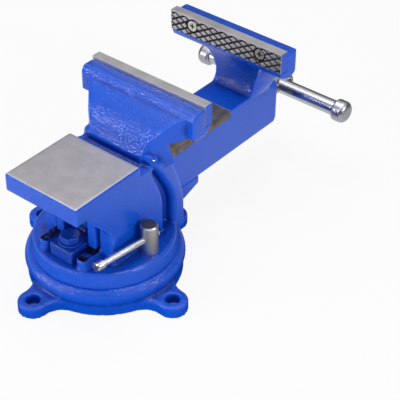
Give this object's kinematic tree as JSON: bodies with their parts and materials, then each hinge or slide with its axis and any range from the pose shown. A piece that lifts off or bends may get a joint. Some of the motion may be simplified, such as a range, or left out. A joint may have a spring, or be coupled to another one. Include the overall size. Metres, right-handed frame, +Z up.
{
  "type": "bench vise",
  "caption": "Swivel-base bench vise with an anvil, a sliding jaw drawn by a screw with a tommy bar, diamond-cut jaw plates, swivel lock nuts with sliding bars and a round base with bolt lugs.",
  "frame": {"origin": "centre of the base's bolt circle, on the underside of the base", "axes": "+Z up, +X along the jaws, -Y towards the handle, +Y towards the anvil"},
  "size_m": [0.1536, 0.2818, 0.1293],
  "materials": {
    "blue_enamel": "glossy hammered enamel over a cast texture",
    "hardened_plate": "ground top, diamond-cut gripping face",
    "zinc_screw": "zinc plated",
    "bright_steel": "turned and polished",
    "spring_steel": "oiled",
    "painted_iron": "glossy enamel",
    "painted_steel": "glossy enamel"
  },
  "bodies": {
    "base": {"swivel_base": "blue_enamel"},
    "turntable": {"vise_body": "blue_enamel", "fixed_jaw_plate": "hardened_plate", "fixed_plate_screws": "zinc_screw", "main_nut": "painted_iron", "nut_washer": "painted_steel", "nut_bolt": "painted_steel", "left_t_bolt": "spring_steel", "right_t_bolt": "spring_steel"},
    "jaw": {"movable_jaw": "blue_enamel", "movable_jaw_plate": "hardened_plate", "movable_plate_screws": "zinc_screw", "thrust_washer": "bright_steel", "return_spring": "spring_steel"},
    "spindle": {"spindle": "bright_steel", "retaining_collar": "spring_steel", "retaining_pin": "spring_steel"},
    "handle": {"handle_bar": "bright_steel", "handle_cap_left": "bright_steel", "handle_cap_right": "bright_steel"},
    "left_lock": {"left_lock_nut": "bright_steel"},
    "right_lock": {"right_lock_nut": "bright_steel"},
    "left_bar": {"left_lock_bar": "bright_steel", "left_lock_bar_caps": "bright_steel"},
    "right_bar": {"right_lock_bar": "bright_steel", "right_lock_bar_caps": "bright_steel"}
  },
  "joints": [
    {"name": "base_swivel", "type": "hinge", "parent": "base", "child": "turntable", "pos_m": [0, 0, 0.0205], "axis": [0, 0, 1], "continuous": true},
    {"name": "jaw_slide", "type": "slide", "parent": "turntable", "child": "jaw", "axis": [0, 1, 0], "range_m": [-0.024, 0.0757]},
    {"name": "spindle_turn", "type": "hinge", "parent": "jaw", "child": "spindle", "pos_m": [0, -0.173, 0.0564], "axis": [0, 1, 0], "range_deg": [-2200, 6850]},
    {"name": "handle_slide", "type": "slide", "parent": "spindle", "child": "handle", "axis": [1, 0, 0], "range_m": [-0.049, 0.0462]},
    {"name": "left_lock_turn", "type": "hinge", "parent": "turntable", "child": "left_lock", "pos_m": [-0.0397, -0.0015, 0.044], "axis": [0, 0, 1], "range_deg": [0, 120]},
    {"name": "right_lock_turn", "type": "hinge", "parent": "turntable", "child": "right_lock", "pos_m": [0.0397, -0.0015, 0.044], "axis": [0, 0, 1], "range_deg": [0, 120]},
    {"name": "left_bar_slide", "type": "slide", "parent": "left_lock", "child": "left_bar", "axis": [0.1219, 0.9925, 0], "range_m": [-0.0346, 0]},
    {"name": "right_bar_slide", "type": "slide", "parent": "right_lock", "child": "right_bar", "axis": [0.1219, -0.9925, 0], "range_m": [-0.0346, 0]}
  ],
  "couplings": [
    {"joint": "spindle_turn", "follows": "jaw_slide", "rad_per_m": 1570.8}
  ]
}
